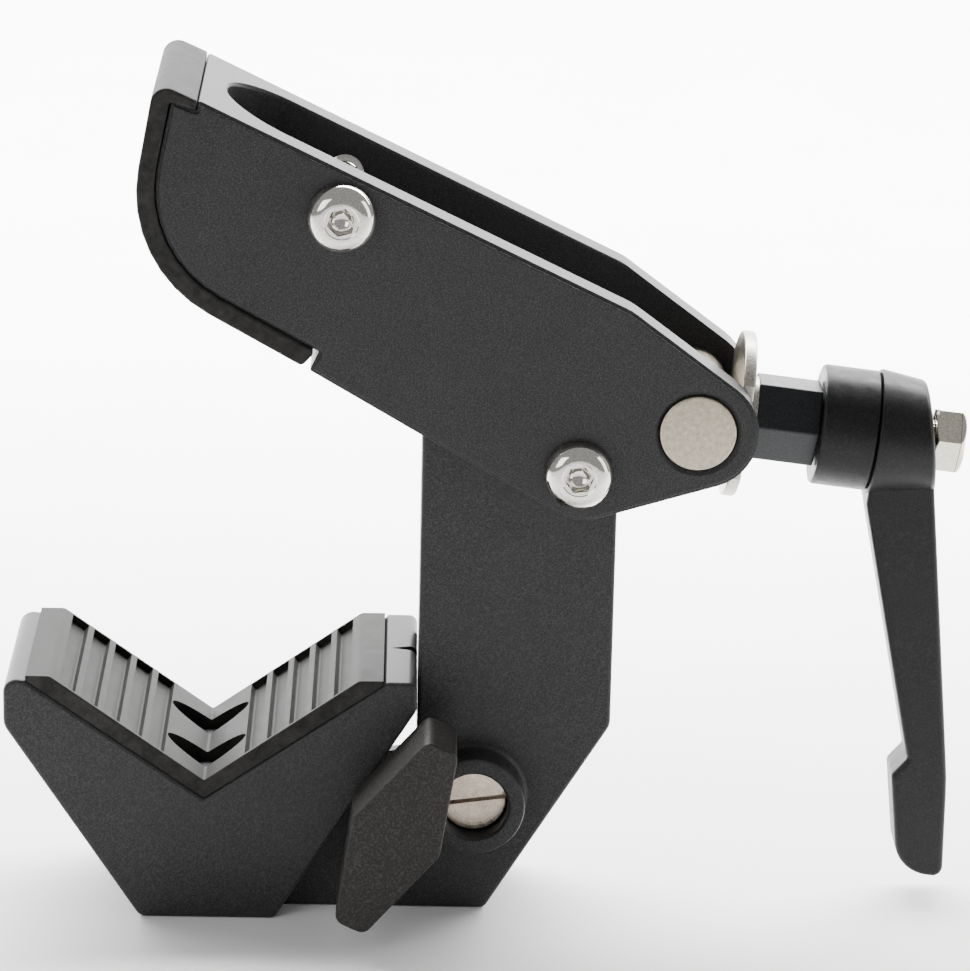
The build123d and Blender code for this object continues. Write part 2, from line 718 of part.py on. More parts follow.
# ---------------------------------------------------------------- every piece
arm_screw_length = arm_wall + arm_screw_tip
hinge_screw_length = 9.0
pieces = {
    "body_casting": make_body_casting(),
    "lower_jaw_pad": make_lower_jaw_pad(),
    "lower_pad_screws": make_lower_pad_screws(),
    "anchor_pin": make_anchor_pin(),
    "slotted_plug": make_slotted_plug(),
    "upper_jaw_arm": make_upper_jaw_arm(),
    "upper_jaw_pad": make_upper_jaw_pad(),
    "arm_screw_front": make_button_screw(arm_screw_x, arm_screw_z, -1, arm_screw_length),
    "arm_screw_rear": make_button_screw(arm_screw_x, arm_screw_z, 1, arm_screw_length),
    "hinge_barrel": make_hinge_barrel(),
    "hinge_screw_front": make_button_screw(hinge_x, hinge_z, -1, hinge_screw_length),
    "hinge_screw_rear": make_button_screw(hinge_x, hinge_z, 1, hinge_screw_length),
    "barrel_pin": make_barrel_pin(),
    "thrust_plate": make_thrust_plate(),
    "tension_rod": make_tension_rod(),
    "rod_end_nut": make_end_nut(),
    "thrust_washer": make_thrust_washer(),
    "hex_sleeve_nut": make_hex_sleeve_nut(),
    "lever_collar": make_lever_collar(),
    "lever_clip": make_lever_clip(),
    "lever_washer": make_lever_washer(),
    "lever_spring": make_lever_spring(),
    "lever_handle": make_lever_handle(),
    "clamp_shoe": make_clamp_shoe(),
    "wing_screw": make_wing_screw(),
    "wing_knob": make_wing_knob(),
    "catch_pin": make_catch_pin(),
    "catch_spring": make_catch_spring(),
}
os.makedirs("parts", exist_ok=True)
for piece_name, piece in pieces.items():
    save(piece, piece_name)
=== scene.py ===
import json
import math

import bmesh
import bpy
from mathutils import Matrix, Vector


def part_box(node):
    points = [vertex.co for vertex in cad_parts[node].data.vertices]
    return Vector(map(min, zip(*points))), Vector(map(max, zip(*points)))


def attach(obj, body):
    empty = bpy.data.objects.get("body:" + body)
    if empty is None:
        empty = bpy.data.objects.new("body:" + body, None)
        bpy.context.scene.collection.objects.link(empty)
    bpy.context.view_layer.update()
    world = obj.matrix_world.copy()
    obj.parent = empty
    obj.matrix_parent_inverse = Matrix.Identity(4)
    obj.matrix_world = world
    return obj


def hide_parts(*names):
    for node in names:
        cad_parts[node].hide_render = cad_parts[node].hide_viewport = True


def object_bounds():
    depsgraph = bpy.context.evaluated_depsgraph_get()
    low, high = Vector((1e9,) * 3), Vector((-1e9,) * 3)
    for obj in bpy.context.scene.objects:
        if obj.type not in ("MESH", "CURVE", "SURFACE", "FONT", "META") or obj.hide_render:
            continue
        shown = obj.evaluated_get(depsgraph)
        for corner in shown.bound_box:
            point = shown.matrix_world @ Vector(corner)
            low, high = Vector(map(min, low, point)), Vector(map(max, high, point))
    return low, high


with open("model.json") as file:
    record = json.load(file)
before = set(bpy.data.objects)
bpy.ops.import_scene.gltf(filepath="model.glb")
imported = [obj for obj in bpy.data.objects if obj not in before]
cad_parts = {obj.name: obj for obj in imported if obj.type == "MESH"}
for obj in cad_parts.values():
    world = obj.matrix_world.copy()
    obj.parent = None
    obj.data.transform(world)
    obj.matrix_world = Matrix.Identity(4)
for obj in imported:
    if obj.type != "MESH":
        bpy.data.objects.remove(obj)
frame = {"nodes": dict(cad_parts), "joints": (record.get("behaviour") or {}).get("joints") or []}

cadLow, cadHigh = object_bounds()
mm = 0.001    # the pieces are drawn in millimetres and stored in metres
print("frame loaded")


def middleOf(node):
    low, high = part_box(node)
    return (low + high) / 2 / mm


def jointAxis(name):
    return Vector(next(j["axis"] for j in frame["joints"] if j["name"] == name))


def frameAt(origin, up, side):
    # local Z runs along up, local X lies near side
    z = Vector(up).normalized()
    x = (Vector(side) - z * Vector(side).dot(z)).normalized()
    y = z.cross(x)
    matrix = Matrix((x, y, z)).transposed().to_4x4()
    matrix.translation = Vector(origin)
    return matrix


quarter = [math.radians(22.5 * n) for n in range(5)]    # a quarter turn in four steps
arcStep = 9    # degrees between the points of a rounded corner
threadPitch = 1.0    # the screws and the rod are all M6
hinge = middleOf("hinge_barrel")
barrel = middleOf("barrel_pin")
anchor = middleOf("anchor_pin")
plug = middleOf("slotted_plug")
lockHeight = plug.z
rodAxis = jointAxis("lever_index")
rodStart = anchor + rodAxis * (barrel - anchor).dot(rodAxis)    # level with the barrel
sideOn = frameAt((0, 0, 0), (0, -1, 0), (1, 0, 0))    # local X, Y, Z are right, up, towards the wing


def alongRod(distance):
    # local Z points to the lever, local X towards the wing
    return frameAt(rodStart + rodAxis * distance, rodAxis, (0, -1, 0))


def acrossAt(centre, depth, facing=-1):
    # on the side of the clamp, local Z points outwards
    return frameAt((centre.x, depth, centre.z), (0, facing, 0), (1, 0, 0))


def newPiece(name, shape, place):
    bmesh.ops.recalc_face_normals(shape, faces=shape.faces)
    shape.transform(Matrix.Scale(mm, 4) @ place)
    mesh = bpy.data.meshes.new(name)
    shape.to_mesh(mesh)
    shape.free()
    piece = bpy.data.objects.new(name, mesh)
    bpy.context.collection.objects.link(piece)
    return piece


def insetCorners(corners, inset):
    # every side moves inwards by inset; corners are (x, y, radius)
    area = sum(a[0] * b[1] - b[0] * a[1] for a, b in zip(corners, corners[1:] + corners[:1]))
    way = 1 if area > 0 else -1
    moved = []
    for i, (x, y, radius) in enumerate(corners):
        here = Vector((x, y))
        first = (here - Vector(corners[i - 1][:2])).normalized()
        second = (Vector(corners[(i + 1) % len(corners)][:2]) - here).normalized()
        inward = way * (Vector((-first.y, first.x)) + Vector((-second.y, second.x)))
        spot = here + inward * inset / (1 + first.dot(second))
        convex = first.cross(second) * way > 0
        moved.append((spot.x, spot.y, radius and max(radius + (-inset if convex else inset), 0.03)))
    return moved


def roundOff(corners):
    # each corner becomes an arc
    path = []
    for i, (x, y, radius) in enumerate(corners):
        here = Vector((x, y))
        before = (Vector(corners[i - 1][:2]) - here).normalized()
        after = (Vector(corners[(i + 1) % len(corners)][:2]) - here).normalized()
        turn = math.pi - before.angle(after)
        if radius == 0 or turn < 0.01:
            path.append(here)
            continue
        start = here + before * radius * math.tan(turn / 2)
        centre = here + (before + after).normalized() * radius / math.cos(turn / 2)
        way = 1 if before.cross(after) < 0 else -1
        count = max(2, round(math.degrees(turn) / arcStep))
        for n in range(count + 1):
            path.append(centre + Matrix.Rotation(way * turn * n / count, 2) @ (start - centre))
    return path


def extruded(name, corners, low, high, place=sideOn, rim=0, flare=0, ledge=()):
    # a prism from low to high; rim rounds both its end edges, ledge steps them, flare widens its upper end
    if ledge:
        layers = [(low + depth, inset) for depth, inset in ledge]
    elif rim:
        layers = [(low + rim - rim * math.cos(a), rim - rim * math.sin(a)) for a in quarter]
    else:
        layers = [(low, 0)]
    layers += [(low + high - z, inset) for z, inset in reversed(layers)]
    if flare:
        layers[-1:] = [(high - 2 * flare, 0), (high - 0.7 * flare, -0.4 * flare), (high, -1.2 * flare),
                       (high + 2, -1.2 * flare - 2)]
    shape = bmesh.new()
    rings = [[shape.verts.new((x, y, z)) for x, y in roundOff(insetCorners(corners, inset))]
             for z, inset in layers]
    for lower, upper in zip(rings, rings[1:]):
        for n in range(len(lower)):
            shape.faces.new((lower[n - 1], lower[n], upper[n], upper[n - 1]))
    shape.faces.new(rings[0])
    shape.faces.new(rings[-1])
    return newPiece(name, shape, place)


def turned(name, profile, place, steps=72):
    # profile is (radius, height) from one end to the other; a radius of 0 closes it
    shape = bmesh.new()
    rings = []
    for radius, height in profile:
        angles = [math.tau * n / steps for n in range(steps)] if radius else [0]
        rings.append([shape.verts.new((radius * math.cos(a), radius * math.sin(a), height)) for a in angles])
    closed = profile[0][0] > 0 and profile[-1][0] > 0
    pairs = list(zip(rings, rings[1:])) + ([(rings[-1], rings[0])] if closed else [])
    for lower, upper in pairs:
        for n in range(steps):
            corners = [lower[n % len(lower)], lower[(n + 1) % len(lower)],
                       upper[(n + 1) % len(upper)], upper[n % len(upper)]]
            shape.faces.new(list(dict.fromkeys(corners)))
    return newPiece(name, shape, place)


def drilled(piece, place, radius, low, high, flare=0.2):
    # a round hole from low to high, its edges broken by flare
    wide = radius + flare
    tool = turned("drill", [(0, low - 1), (wide + 1, low - 1), (wide, low), (radius, low + flare),
                            (radius, high - flare), (wide, high), (wide + 1, high + 1), (0, high + 1)], place)
    return combine(piece, tool)


def settle(piece):
    graph = bpy.context.evaluated_depsgraph_get()
    made = bpy.data.meshes.new_from_object(piece.evaluated_get(graph))
    piece.modifiers.clear()
    piece.data = made
    return piece


def combine(piece, tool, how="DIFFERENCE"):
    step = piece.modifiers.new("combine", "BOOLEAN")
    step.operation = how
    step.solver = "EXACT"
    step.object = tool
    settle(piece)
    bpy.data.objects.remove(tool)
    return piece


def cleanUp(piece):
    shape = bmesh.new()
    shape.from_mesh(piece.data)
    bmesh.ops.remove_doubles(shape, verts=shape.verts, dist=0.004 * mm)
    shape.to_mesh(piece.data)
    shape.free()
    return piece


def ease(piece, width, sharp, segments=3):
    step = piece.modifiers.new("ease", "BEVEL")
    step.width = width * mm
    step.segments = segments
    step.limit_method = "ANGLE"
    step.angle_limit = math.radians(sharp)
    step.use_clamp_overlap = False
    return settle(piece)


def shade(piece, angle=35):
    for face in piece.data.polygons:
        face.use_smooth = True
    piece.data.set_sharp_from_angle(angle=math.radians(angle))
    even = piece.modifiers.new("evenNormals", "WEIGHTED_NORMAL")
    even.keep_sharp = True
    return piece


def present(piece, material, body, slot, *nodes):
    piece.data.materials.clear()
    piece.data.materials.append(material)
    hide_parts(*nodes)
    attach(piece, body)
    return piece


def toLinear(code):
    channels = [int(code[i:i + 2], 16) / 255 for i in (1, 3, 5)]
    return [c / 12.92 if c <= 0.04045 else ((c + 0.055) / 1.055) ** 2.4 for c in channels] + [1]


def addNode(tree, kind, settings=None, out=0, **inputs):
    # inputs are named as on the node with _ for a space, or at6 for the seventh; gives back one output
    node = tree.nodes.new("ShaderNode" + kind)
    for name, value in (settings or {}).items():
        setattr(node, name, value)
    for name, value in inputs.items():
        socket = node.inputs[int(name[2:])] if name[:2] == "at" else node.inputs[name.replace("_", " ")]
        if isinstance(value, bpy.types.NodeSocket):
            tree.links.new(value, socket)
        else:
            socket.default_value = value
    return node.outputs[out] if node.outputs else node


def grains(size):
    return 1 / (size * mm)    # noise scale that gives grains of that many millimetres


def startMaterial(name):
    material = bpy.data.materials.new(name)
    material.use_nodes = True
    material.node_tree.nodes.clear()
    return material, material.node_tree, addNode(material.node_tree, "TexCoord", None, "Object")


def endMaterial(material, **inputs):
    shader = addNode(material.node_tree, "BsdfPrincipled", **inputs)
    addNode(material.node_tree, "OutputMaterial", Surface=shader)
    return material


# fine-texture polyester powder, baked on die-cast aluminium: a charcoal skin with pale pin-point
# grains and a low orange peel, so level faces catch a broad soft shine and upright ones stay dark
powderCoat = {"dark": "#222222", "light": "#3f3f40", "grain": 0.21, "peel": 0.6, "patch": 9.0,
              "roughness": 0.38, "shine": 0.16, "depth": 0.010}


def powderCoatedAluminium(recipe):
    material, tree, place = startMaterial("powderCoatedAluminium")
    grain = addNode(tree, "TexNoise", Vector=place, Scale=grains(recipe["grain"]), Detail=2.0)
    patches = addNode(tree, "TexNoise", Vector=place, Scale=grains(recipe["patch"]), Detail=2.0)
    peel = addNode(tree, "TexNoise", Vector=place, Scale=grains(recipe["peel"]), Detail=2.0)
    specks = addNode(tree, "MapRange", Value=grain, From_Min=0.42, From_Max=0.82)
    tone = addNode(tree, "Math", {"operation": "MULTIPLY_ADD"}, at0=patches, at1=0.16, at2=specks)
    colour = addNode(tree, "Mix", {"data_type": "RGBA"}, 2, at0=tone, at6=toLinear(recipe["dark"]),
                     at7=toLinear(recipe["light"]))
    rough = addNode(tree, "MapRange", Value=grain, From_Min=0.3, From_Max=0.7,
                    To_Min=recipe["roughness"] - 0.05, To_Max=recipe["roughness"] + 0.08)
    height = addNode(tree, "Math", {"operation": "MULTIPLY_ADD"}, at0=grain, at1=0.7, at2=peel)
    relief = addNode(tree, "Bump", Height=height, Distance=recipe["depth"] * mm)
    return endMaterial(material, Base_Color=colour, Roughness=rough, Normal=relief,
                       Specular_IOR_Level=recipe["shine"])


# compression-moulded natural rubber: dull black with a grey bloom that dusts its open faces
rubber = {"dark": "#1a1a19", "light": "#343331", "bloom": 2.2, "grain": 0.4, "roughness": 0.5, "shine": 0.09,
          "depth": 0.010}


def mouldedRubber(recipe):
    material, tree, place = startMaterial("mouldedRubber")
    bloom = addNode(tree, "TexNoise", Vector=place, Scale=grains(recipe["bloom"]), Detail=5.0, Roughness=0.7)
    grain = addNode(tree, "TexNoise", Vector=place, Scale=grains(recipe["grain"]), Detail=2.0)
    dusted = addNode(tree, "MapRange", Value=bloom, From_Min=0.35, From_Max=0.75)
    colour = addNode(tree, "Mix", {"data_type": "RGBA"}, 2, at0=dusted, at6=toLinear(recipe["dark"]),
                     at7=toLinear(recipe["light"]))
    rough = addNode(tree, "MapRange", Value=bloom, From_Min=0.3, From_Max=0.7,
                    To_Min=recipe["roughness"] - 0.06, To_Max=recipe["roughness"] + 0.1)
    relief = addNode(tree, "Bump", Height=grain, Distance=recipe["depth"] * mm)
    return endMaterial(material, Base_Color=colour, Roughness=rough, Normal=relief,
                       Specular_IOR_Level=recipe["shine"])


def barMetal(name, recipe):
    # bare or plated metal; a small stretch draws its marks out that way, and they are coarser than real
    material, tree, place = startMaterial(name)
    drawn = addNode(tree, "Mapping", Vector=place, Scale=recipe["stretch"])
    marks = addNode(tree, "TexNoise", Vector=drawn, Scale=grains(recipe["mark"]), Detail=3.0)
    shown = addNode(tree, "MapRange", Value=marks, From_Min=0.3, From_Max=0.7)
    colour = addNode(tree, "Mix", {"data_type": "RGBA"}, 2, at0=shown, at6=toLinear(recipe["dark"]),
                     at7=toLinear(recipe["light"]))
    rough = addNode(tree, "MapRange", Value=marks, From_Min=0.3, From_Max=0.7,
                    To_Min=recipe["roughness"] * 0.75, To_Max=recipe["roughness"] * 1.3)
    relief = addNode(tree, "Bump", Height=marks, Distance=recipe["depth"] * mm)
    return endMaterial(material, Base_Color=colour, Roughness=rough, Normal=relief, Metallic=1.0)


def turnedMetal(name, recipe, centre):
    # a lathe-turned end face under dull blotched nickel; its rings are drawn wider apart than a
    # real tool feed of about 0.15 mm, so that they can be seen
    material, tree, place = startMaterial(name)
    local = addNode(tree, "Mapping", {"vector_type": "TEXTURE"}, Vector=place, Location=centre * mm)
    flat = addNode(tree, "VectorMath", {"operation": "MULTIPLY"}, at0=local, at1=(1, 0, 1))
    far = addNode(tree, "VectorMath", {"operation": "LENGTH"}, "Value", at0=flat)
    turns = addNode(tree, "Math", {"operation": "MULTIPLY"}, at0=far, at1=math.tau * grains(recipe["feed"]))
    ring = addNode(tree, "Math", {"operation": "SINE"}, at0=turns)
    blotch = addNode(tree, "TexNoise", Vector=place, Scale=grains(recipe["blotch"]), Detail=5.0,
                     Roughness=0.7)
    tone = addNode(tree, "Math", {"operation": "MULTIPLY_ADD"}, at0=ring, at1=0.04, at2=blotch)
    shown = addNode(tree, "MapRange", Value=tone, From_Min=0.3, From_Max=0.75)
    colour = addNode(tree, "Mix", {"data_type": "RGBA"}, 2, at0=shown, at6=toLinear(recipe["dark"]),
                     at7=toLinear(recipe["light"]))
    rough = addNode(tree, "MapRange", Value=blotch, From_Min=0.3, From_Max=0.7,
                    To_Min=recipe["roughness"] - 0.06, To_Max=recipe["roughness"] + 0.08)
    relief = addNode(tree, "Bump", Height=ring, Distance=recipe["depth"] * mm)
    return endMaterial(material, Base_Color=colour, Roughness=rough, Normal=relief, Metallic=1.0)


def satinBlack(name, recipe):
    # a black skin with a slight peel and fine specks
    material, tree, place = startMaterial(name)
    fine = addNode(tree, "TexNoise", Vector=place, Scale=grains(recipe["grain"]), Detail=2.0)
    wide = addNode(tree, "TexNoise", Vector=place, Scale=grains(recipe["peel"]), Detail=3.0)
    specks = addNode(tree, "MapRange", Value=fine, From_Min=0.45, From_Max=0.8)
    colour = addNode(tree, "Mix", {"data_type": "RGBA"}, 2, at0=specks, at6=toLinear(recipe["dark"]),
                     at7=toLinear(recipe["light"]))
    rough = addNode(tree, "MapRange", Value=wide, From_Min=0.3, From_Max=0.7,
                    To_Min=recipe["roughness"] - 0.05, To_Max=recipe["roughness"] + 0.08)
    height = addNode(tree, "Math", {"operation": "MULTIPLY_ADD"}, at0=fine, at1=0.4, at2=wide)
    relief = addNode(tree, "Bump", Height=height, Distance=recipe["depth"] * mm)
    return endMaterial(material, Base_Color=colour, Roughness=rough, Normal=relief,
                       Specular_IOR_Level=recipe["shine"])


# polished A2 stainless screws and rod: bright, with a soft blur that keeps the dome readable
stainless = {"dark": "#c9c6bf", "light": "#e6e3dc", "roughness": 0.09, "mark": 0.25,
             "stretch": (1, 1, 1), "depth": 0.002}
# tumbled nickel plate: warmer and shinier than the screws
nutNickel = {"dark": "#cfc9b8", "light": "#ece7d9", "roughness": 0.12, "mark": 0.4,
             "stretch": (1, 1, 1), "depth": 0.002}
# sheared steel strip, zinc plated: duller, with marks drawn down the plate
stripZinc = {"dark": "#8f8b82", "light": "#bdb9af", "roughness": 0.34, "mark": 0.2,
             "stretch": (1, 1, 0.1), "depth": 0.004}
# zinc-plated turned steel hidden in the works: plain grey and half dull
workSteel = {"dark": "#8d8b86", "light": "#b5b2aa", "roughness": 0.32, "mark": 0.25,
             "stretch": (1, 1, 1), "depth": 0.004}
# cut brass: warm yellow with faint tool marks
brass = {"dark": "#a98445", "light": "#cda968", "roughness": 0.28, "mark": 0.25,
         "stretch": (1, 1, 1), "depth": 0.004}
# oiled spring wire: dark grey, half bright, with fine faint marks
springWire = {"dark": "#6b6964", "light": "#96938c", "roughness": 0.3, "mark": 0.25,
              "stretch": (1, 1, 1), "depth": 0.003}
# faced pin end under dull nickel: warm mottled grey with fine rings
pinNickel = {"dark": "#8f8676", "light": "#c2b9a8", "roughness": 0.36, "feed": 0.4,
             "blotch": 0.8, "depth": 0.0015}
# the plug is the same plate over a coarser cut, so it reads pinker and more ringed
plugNickel = {"dark": "#9b8d7f", "light": "#cabeb1", "roughness": 0.3, "feed": 0.6,
              "blotch": 1.6, "depth": 0.002}
# black oxide on milled steel: blue-black, thin, with the shine of the metal under it
oxide = {"dark": "#111416", "light": "#25292c", "roughness": 0.34, "shine": 0.3, "grain": 0.3, "peel": 0.9,
         "depth": 0.008}
# satin paint on die-cast zinc: smooth near-black with long soft highlights
leverPaint = {"dark": "#0f0f10", "light": "#212122", "roughness": 0.38, "shine": 0.2, "grain": 0.3,
              "peel": 1.4, "depth": 0.012}
# glass-filled nylon: matt, faintly brown, with fibre specks
nylon = {"dark": "#252423", "light": "#3e3c3a", "roughness": 0.5, "shine": 0.15, "grain": 0.35, "peel": 0.6,
         "depth": 0.02}

castFinish = powderCoatedAluminium(powderCoat)
rubberFinish = mouldedRubber(rubber)
screwFinish = barMetal("polishedStainlessSteel", stainless)
nutFinish = barMetal("tumbledNickelPlate", nutNickel)
plateFinish = barMetal("shearedZincStrip", stripZinc)
workFinish = barMetal("zincPlatedSteel", workSteel)
brassFinish = barMetal("machinedBrass", brass)
springFinish = barMetal("oiledSpringSteel", springWire)
pinFinish = turnedMetal("turnedNickelPin", pinNickel, barrel)
plugFinish = turnedMetal("turnedNickelPlug", plugNickel, plug)
oxideFinish = satinBlack("blackOxideSteel", oxide)
leverFinish = satinBlack("satinPaintedZinc", leverPaint)
wingFinish = satinBlack("glassFilledNylon", nylon)
print("finishes mixed")


# the jaw block, the base and the mast are one casting, with two round bosses, a fork at the top for
# the rod's eye and a key that holds the pad in the V; the fork's points are from the anchor pin
casting = {"jawHalf": 16.7, "mastHalf": 11.0, "rim": 0.7, "catchBoss": 8.1, "bossRoot": 0.5, "bossRim": 0.6,
           "catchHole": 5.4, "buttonHole": 3.6, "buttonWall": 3.0, "wingBoss": 6.5, "wingBossEdge": 0.4,
           "wingHole": 4.05, "hingeHole": 4.75, "anchorHole": 2.5, "socket": 8.05, "leadIn": 0.5,
           "relief": 8.35, "reamed": 14.0, "socketTop": 30.0,
           "slit": {"right": 4.1, "length": 5.4, "width": 3.3, "depth": 3.0},
           "forkHalf": 4.3, "fork": [(-5.8, 46, 0), (-5.8, -5.8, 1.5), (2, -5.8, 1), (5, -4.05, 1),
                                     (39, -7.9, 0), (39, 46, 0)],
           "keyHalf": 14.3, "padKey": [(-54.4, 36.8, 0), (-30.4, 20.21, 0), (-6.4, 36.8, 0), (-6.4, 34.7, 0),
                                       (-30.4, 18.2, 0), (-54.4, 34.7, 0)],
           "jaw": [(-61.9, 32.0, 3.0), (-61.9, 39.9, 2.2), (-58.4, 39.5, 0.3), (-30.4, 20.2, 0.4),
                   (-2.4, 39.5, 0.3), (-1.9, 40.1, 0.3), (2.9, 40.1, 1.4), (2.9, 35.4, 1.5),
                   (-19.2, 0.0, 1.5), (-40.6, 0.0, 1.8)],
           "mast": [(-38.8, 0, 0), (14.3, 0, 1.4), (33.6, 31.4, 3.0), (33.6, 75.2, 2.0), (29.2, 79.0, 2.0),
                    (21.6, 91.6, 3.0), (13.7, 91.6, 3.0), (3.0, 79.2, 2.0), (3.0, 20.2, 0), (-38.8, 12.2, 0)]}


def makeCasting(size):
    jawHalf, mastHalf = size["jawHalf"], size["mastHalf"]
    proud = jawHalf - mastHalf
    body = extruded("bodyCasting", size["jaw"], -jawHalf, jawHalf, rim=size["rim"])
    combine(body, extruded("mast", size["mast"], -mastHalf, mastHalf, rim=size["rim"]), "UNION")
    lip, root, rim = size["catchBoss"], size["bossRoot"], size["bossRim"]
    profile = [(0, -4), (lip + root, -4), (lip + root, 0), (lip, root), (lip, proud - rim),
               (lip - 0.3 * rim, proud - 0.3 * rim), (lip - rim, proud), (0, proud)]
    combine(body, turned("catchBoss", profile, acrossAt(plug, -mastHalf), 96), "UNION")
    wingRoot = Vector((0, 0, lockHeight))
    wide, edge = size["wingBoss"], size["wingBossEdge"]
    profile = [(0, -2), (wide, -2), (wide, proud - edge), (wide - edge, proud), (0, proud)]
    combine(body, turned("wingBoss", profile, acrossAt(wingRoot, -mastHalf)), "UNION")
    floor = frameAt((0, 0, 0), (0, 0, 1), (1, 0, 0))
    socket, lead, relief = size["socket"], size["leadIn"], size["relief"]
    reamed, top = size["reamed"], size["socketTop"]
    combine(body, turned("socket", [(0, -1), (socket + lead + 1.1, -1), (socket + lead, 0.1),
                                    (socket, lead + 0.1), (socket, reamed), (relief, reamed), (relief, top),
                                    (0, top + 2)], floor))
    # the hole for the catch runs through both skins and is narrow where the button comes out
    hole, narrow, wall, deep = size["catchHole"], size["buttonHole"], size["buttonWall"], mastHalf + jawHalf
    combine(body, turned("catchHole", [(0, -1), (narrow + 0.6, -1), (narrow, 0.4), (narrow, wall),
                                       (hole, wall), (hole, deep - 0.4), (hole + 0.9, deep + 0.5),
                                       (0, deep + 0.5)], acrossAt(plug, mastHalf), 96))
    drilled(body, acrossAt(wingRoot, 0), size["wingHole"], 0, jawHalf)
    drilled(body, acrossAt(hinge, 0), size["hingeHole"], -mastHalf, mastHalf)
    drilled(body, acrossAt(anchor, 0), size["anchorHole"], -mastHalf, mastHalf)
    fork = [(anchor.x + right, anchor.z + up, radius) for right, up, radius in size["fork"]]
    combine(body, extruded("fork", fork, -size["forkHalf"], size["forkHalf"]))
    combine(body, extruded("padKey", size["padKey"], -size["keyHalf"], size["keyHalf"]))
    slit, lipTop = size["slit"], size["jaw"][6][1]
    right, wide = slit["right"], slit["width"] / 2
    wedge = [(right - slit["length"], 0, 0), (right, -wide, 0), (right, wide, 0)]
    combine(body, extruded("lipSlit", wedge, lipTop - slit["depth"], lipTop + 2, floor))
    return shade(cleanUp(body))


present(makeCasting(casting), castFinish, "base", "powder_coat", "body_casting")
print("casting made")


# button head screws, and the pin across the ears that the rod passes through
screw = {"head": 5.4, "height": 3.3, "rimHeight": 0.55, "hex": 3.9, "hexDepth": 2.2, "socketWall": 0.75,
         "point": 1.6, "thread": 3.0, "length": 8.9}
pin = {"radius": 6.0, "half": 17.6, "edge": 0.5, "cross": 3.6, "clearance": 0.05}

# the arm is one casting, slotted from above for the mast and the rod, and bored for the screws and
# the pin; the ledge is the stepped line along its side edges, as depth and inset
arm = {"half": 17.6, "wall": 6.3, "slotStart": 4.7, "slotCorner": 10.5, "slotEdge": 0.35, "slope": 25.5,
       "screwAt": (-9.8, 115.2), "barrelFlare": 0.7, "hingeHole": 4.7,
       "ledge": ((0, 0.8), (0.12, 0.58), (0.4, 0.48), (0.48, 0.12), (0.6, 0)),
       "outline": [(-31.6, 131.2, 0.3), (-31.9, 133.0, 0.5), (34.7, 101.2, 9.0), (65.3, 78.5, 8.8),
                   (27.0, 66.9, 8.0), (-14.5, 91.0, 0.5), (-13.0, 94.0, 0.3), (-15.5, 95.2, 0.5),
                   (-40.5, 109.0, 19.0), (-35.6, 132.7, 0.5)],
       "room": [(-29.7, 160, 0), (-29.7, 114.0, 0), (-26.0, 105.2, 3), (-14.5, 99.4, 3), (-6.0, 89.5, 3),
                (-6.0, 40, 0), (90, 40, 0), (90, 160, 0)]}


def makeArm(size):
    half, slotHalf = size["half"], size["half"] - size["wall"]
    body = extruded("jawArm", size["outline"], -half, half, ledge=size["ledge"])
    slope = math.radians(size["slope"])
    x, z = size["outline"][1][:2]
    top = frameAt((x, 0, z), (math.sin(slope), 0, math.cos(slope)), (math.cos(slope), 0, -math.sin(slope)))
    start, corner = size["slotStart"], size["slotCorner"]
    plan = [(start, -slotHalf, corner), (160, -slotHalf, 0), (160, slotHalf, 0), (start, slotHalf, corner)]
    slot = extruded("slot", plan, -140, 0, top, flare=size["slotEdge"])
    combine(slot, extruded("room", size["room"], -slotHalf - 2, slotHalf + 2), "INTERSECT")
    combine(body, slot)
    drilled(body, acrossAt(hinge, 0), size["hingeHole"], -half, half)
    drilled(body, acrossAt(barrel, 0), pin["radius"] + pin["clearance"], -half, half, size["barrelFlare"])
    x, z = size["screwAt"]
    drilled(body, acrossAt(Vector((x, 0, z)), 0), screw["thread"], -half, half)
    return shade(cleanUp(body))


present(makeArm(arm), castFinish, "jaw_arm", "powder_coat", "upper_jaw_arm")
print("arm made")


# the upper pad is a band moulded round the nose, with a cap over the top corner
nosePad = {"half": 17.85, "rim": 0.5,
           "outline": [(-31.9, 131.3, 0.3), (-31.75, 132.9, 0.35), (-38.2, 135.8, 2.5), (-43.3, 107.1, 21.5),
                       (-15.6, 91.7, 0.9), (-13.4, 94.1, 0.9), (-15.5, 95.1, 0.3), (-40.45, 108.95, 19.0),
                       (-35.85, 132.6, 0.5)]}


def makeNosePad(size):
    return shade(extruded("nosePad", size["outline"], -size["half"], size["half"], rim=size["rim"]), 40)


present(makeNosePad(nosePad), rubberFinish, "jaw_arm", "pad_rubber", "upper_jaw_pad")


# the lower pad lies in the V; its cross grooves stop at a thin rim on both sides
veePad = {"half": 16.5, "rim": 0.2, "vertex": (-30.4, 23.3), "top": 40.3, "halfLength": 28.0, "flat": 3.8,
          "grooves": 5, "firstGroove": 9.3, "pitch": 4.25, "width": 2.85, "depth": 1.1, "sideRim": 0.6,
          "pocket": (12.4, 6.6), "pocketAt": 7.4, "floor": 20.2}


